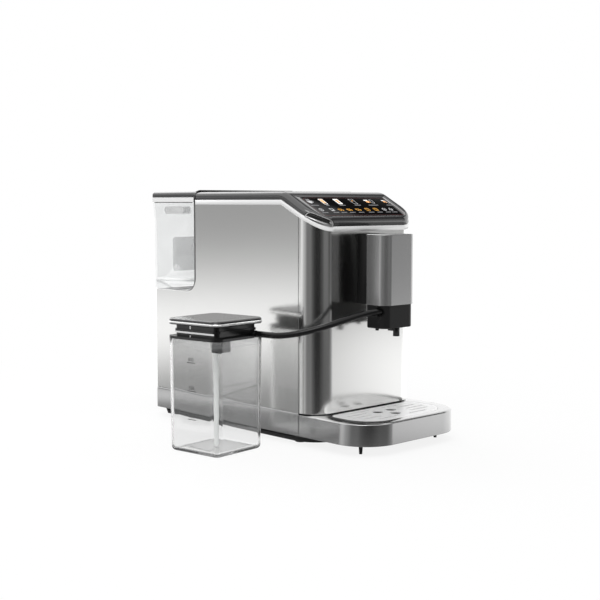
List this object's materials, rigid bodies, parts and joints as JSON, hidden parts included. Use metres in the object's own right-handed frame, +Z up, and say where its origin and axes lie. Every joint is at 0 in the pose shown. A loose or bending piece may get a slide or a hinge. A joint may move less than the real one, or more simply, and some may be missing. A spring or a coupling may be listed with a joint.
{
  "type": "bean to cup coffee machine",
  "caption": "Compact bean to cup coffee machine with height-adjustable spout, drip tray, lift-out water tank and separate clear milk jug joined by a hose.",
  "frame": {"origin": "on the table, under the middle of the box round the machine and its jug", "axes": "+Z up, -Y towards the user and the drip tray, +X to the user's right; the jug stands at the machine's left"},
  "size_m": [0.3321, 0.4352, 0.333],
  "materials": {
    "silver": "satin silver paint",
    "silver_base": "satin silver paint, a little darker",
    "bright_trim": "bright band",
    "dark_cover": "glossy near black",
    "lid_black": "glossy black",
    "tank_strip": "glossy dark grey",
    "display_glass": "black glass-like panel with lit icons",
    "circuit_board": "green laminate",
    "black_button": "glossy black",
    "black_plastic": "fine matte black",
    "spout_cover": "satin grey",
    "rubber": "matt rubber",
    "screw_steel": "plain steel",
    "brushed_grate": "brushed stainless sheet",
    "bright_nozzle": "polished",
    "clear_tank": "clear plastic, slightly hazy",
    "tank_valve": "grey plastic",
    "frosted_grey": "frosted grey plastic",
    "clear_jug": "clear plastic",
    "neck_black": "matte black",
    "gasket": "translucent light silicone",
    "white_tube": "white plastic",
    "black_hose": "black silicone",
    "burr_steel": "hardened steel",
    "motor_steel": "plain metal can",
    "boiler_aluminium": "cast"
  },
  "bodies": {
    "machine": {"base_plinth": "black_plastic", "rubber_feet": "rubber", "base_skirt": "silver_base", "side_panel_left": "silver", "side_panel_right": "silver", "front_shell": "silver", "rear_panel": "black_plastic", "housing_screws": "screw_steel", "trim_strip": "bright_trim", "top_cover": "dark_cover", "display_glass": "display_glass", "display_board": "circuit_board", "button_bezel": "bright_trim", "hopper_hinge": "screw_steel", "tank_liner": "dark_cover", "tank_dock": "black_plastic", "dock_seal": "rubber", "spout_rail": "black_plastic", "milk_jug": "clear_jug", "milk_hose_jug_end": "black_hose", "milk_hose_spout_end": "black_hose", "inner_frame": "black_plastic", "door_hinge": "screw_steel", "brew_frame": "black_plastic", "grinder_body": "black_plastic", "upper_burr": "burr_steel", "grinder_motor": "motor_steel", "hopper_bowl": "black_plastic", "thermoblock": "boiler_aluminium", "water_pump": "motor_steel", "control_board": "circuit_board", "mains_inlet": "black_plastic"},
    "water_tank": {"tank_shell": "clear_tank", "tank_valve": "tank_valve", "tank_grips": "frosted_grey", "tank_lid_strip": "tank_strip", "tank_lid_pins": "screw_steel"},
    "tank_lid": {"tank_lid": "lid_black"},
    "hopper_lid": {"hopper_lid": "lid_black"},
    "drip_tray": {"tray_surround": "silver", "tray_tub": "black_plastic", "tray_pins": "black_plastic"},
    "drip_grate": {"drip_grate": "brushed_grate"},
    "spout": {"spout_carriage": "black_plastic", "spout_cover": "spout_cover", "frother_block": "black_plastic", "coffee_nozzles": "bright_nozzle"},
    "milk_lid": {"milk_lid_neck": "neck_black", "milk_lid_top": "lid_black", "milk_lid_band": "bright_trim", "lid_gasket": "gasket", "dip_tube": "white_tube", "hose_nipple": "black_hose"},
    "power_button": {"power_button": "black_button"},
    "grounds_bin": {"grounds_bin": "black_plastic", "bin_front": "silver"},
    "service_door": {"service_door": "silver"},
    "grind_dial": {"grind_dial": "black_plastic"},
    "lower_burr": {"lower_burr": "burr_steel"},
    "brew_piston": {"brew_piston": "black_plastic"}
  },
  "joints": [
    {"name": "drip_tray_pull", "type": "slide", "parent": "machine", "child": "drip_tray", "axis": [0, -1, 0], "range_m": [0, 0.09]},
    {"name": "drip_grate_lift", "type": "slide", "parent": "drip_tray", "child": "drip_grate", "axis": [0, 0, 1], "range_m": [0, 0.06]},
    {"name": "water_tank_lift", "type": "slide", "parent": "machine", "child": "water_tank", "axis": [0, 0, 1], "range_m": [0, 0.12]},
    {"name": "tank_lid_hinge", "type": "hinge", "parent": "water_tank", "child": "tank_lid", "pos_m": [0.06761, 0.1194, 0.3279], "axis": [1, 0, 0], "range_deg": [0, 80]},
    {"name": "hopper_lid_hinge", "type": "hinge", "parent": "machine", "child": "hopper_lid", "pos_m": [0.06761, 0.1028, 0.3254], "axis": [-1, 0, 0], "range_deg": [0, 90]},
    {"name": "service_door_hinge", "type": "hinge", "parent": "machine", "child": "service_door", "pos_m": [0.16291, 0.0732, 0.177], "axis": [0, 0, 1], "range_deg": [0, 95]},
    {"name": "grounds_bin_pull", "type": "slide", "parent": "machine", "child": "grounds_bin", "axis": [1, 0, 0], "range_m": [0, 0.086]},
    {"name": "spout_height", "type": "slide", "parent": "machine", "child": "spout", "axis": [0, 0, -1], "range_m": [0, 0.03], "deforming": ["milk_hose_spout_end"]},
    {"name": "milk_lid_lift", "type": "slide", "parent": "machine", "child": "milk_lid", "axis": [0, 0, 1], "range_m": [0, 0.142], "deforming": ["milk_hose_jug_end"]},
    {"name": "power_button_press", "type": "slide", "parent": "machine", "child": "power_button", "axis": [0.7071, 0.7071, 0], "range_m": [0, 0.0015], "stiffness_N_per_m": 600},
    {"name": "grind_dial_turn", "type": "hinge", "parent": "machine", "child": "grind_dial", "pos_m": [0.03761, 0.0788, 0.322], "axis": [0, 0, 1], "range_deg": [-120, 120]},
    {"name": "lower_burr_spin", "type": "hinge", "parent": "machine", "child": "lower_burr", "pos_m": [0.06761, 0.0248, 0.24], "axis": [0, 0, 1], "continuous": true},
    {"name": "brew_piston_rise", "type": "slide", "parent": "machine", "child": "brew_piston", "axis": [0, 0, 1], "range_m": [0, 0.028]}
  ]
}
